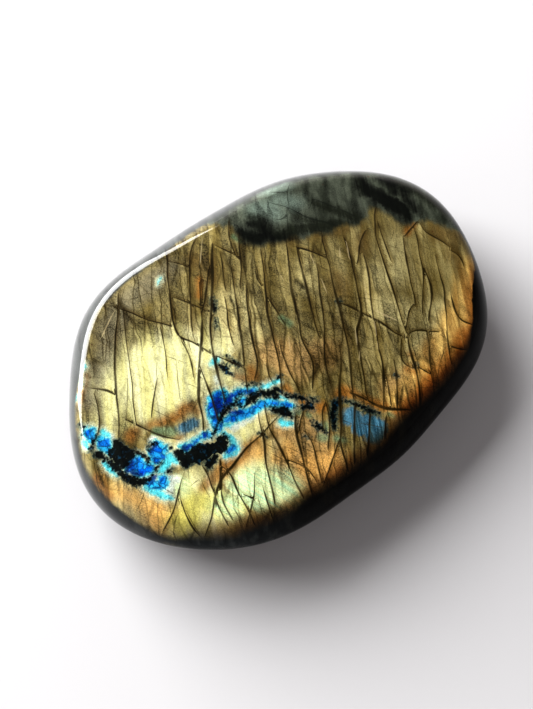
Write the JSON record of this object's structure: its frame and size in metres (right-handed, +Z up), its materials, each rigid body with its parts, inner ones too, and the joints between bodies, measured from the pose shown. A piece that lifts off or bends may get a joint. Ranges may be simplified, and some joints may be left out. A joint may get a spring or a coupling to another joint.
{
  "type": "polished labradorite freeform",
  "caption": "Rounded oval slab of polished labradorite with a slightly crowned face, a broad bevel along one side, soft shoulders and a flat underside to rest on.",
  "frame": {"origin": "on the plane of the flat underside, below the middle of the stone's box", "axes": "+X along the stone's length, +Y across it towards the broad bevel, +Z up out of the polished face"},
  "size_m": [0.109, 0.0774, 0.0217],
  "materials": {
    "polished_labradorite": "high polish over olive-gold flash with blue veins and fine dark cracks"
  },
  "bodies": {
    "root": {"labradorite_stone": "polished_labradorite"}
  },
  "joints": []
}
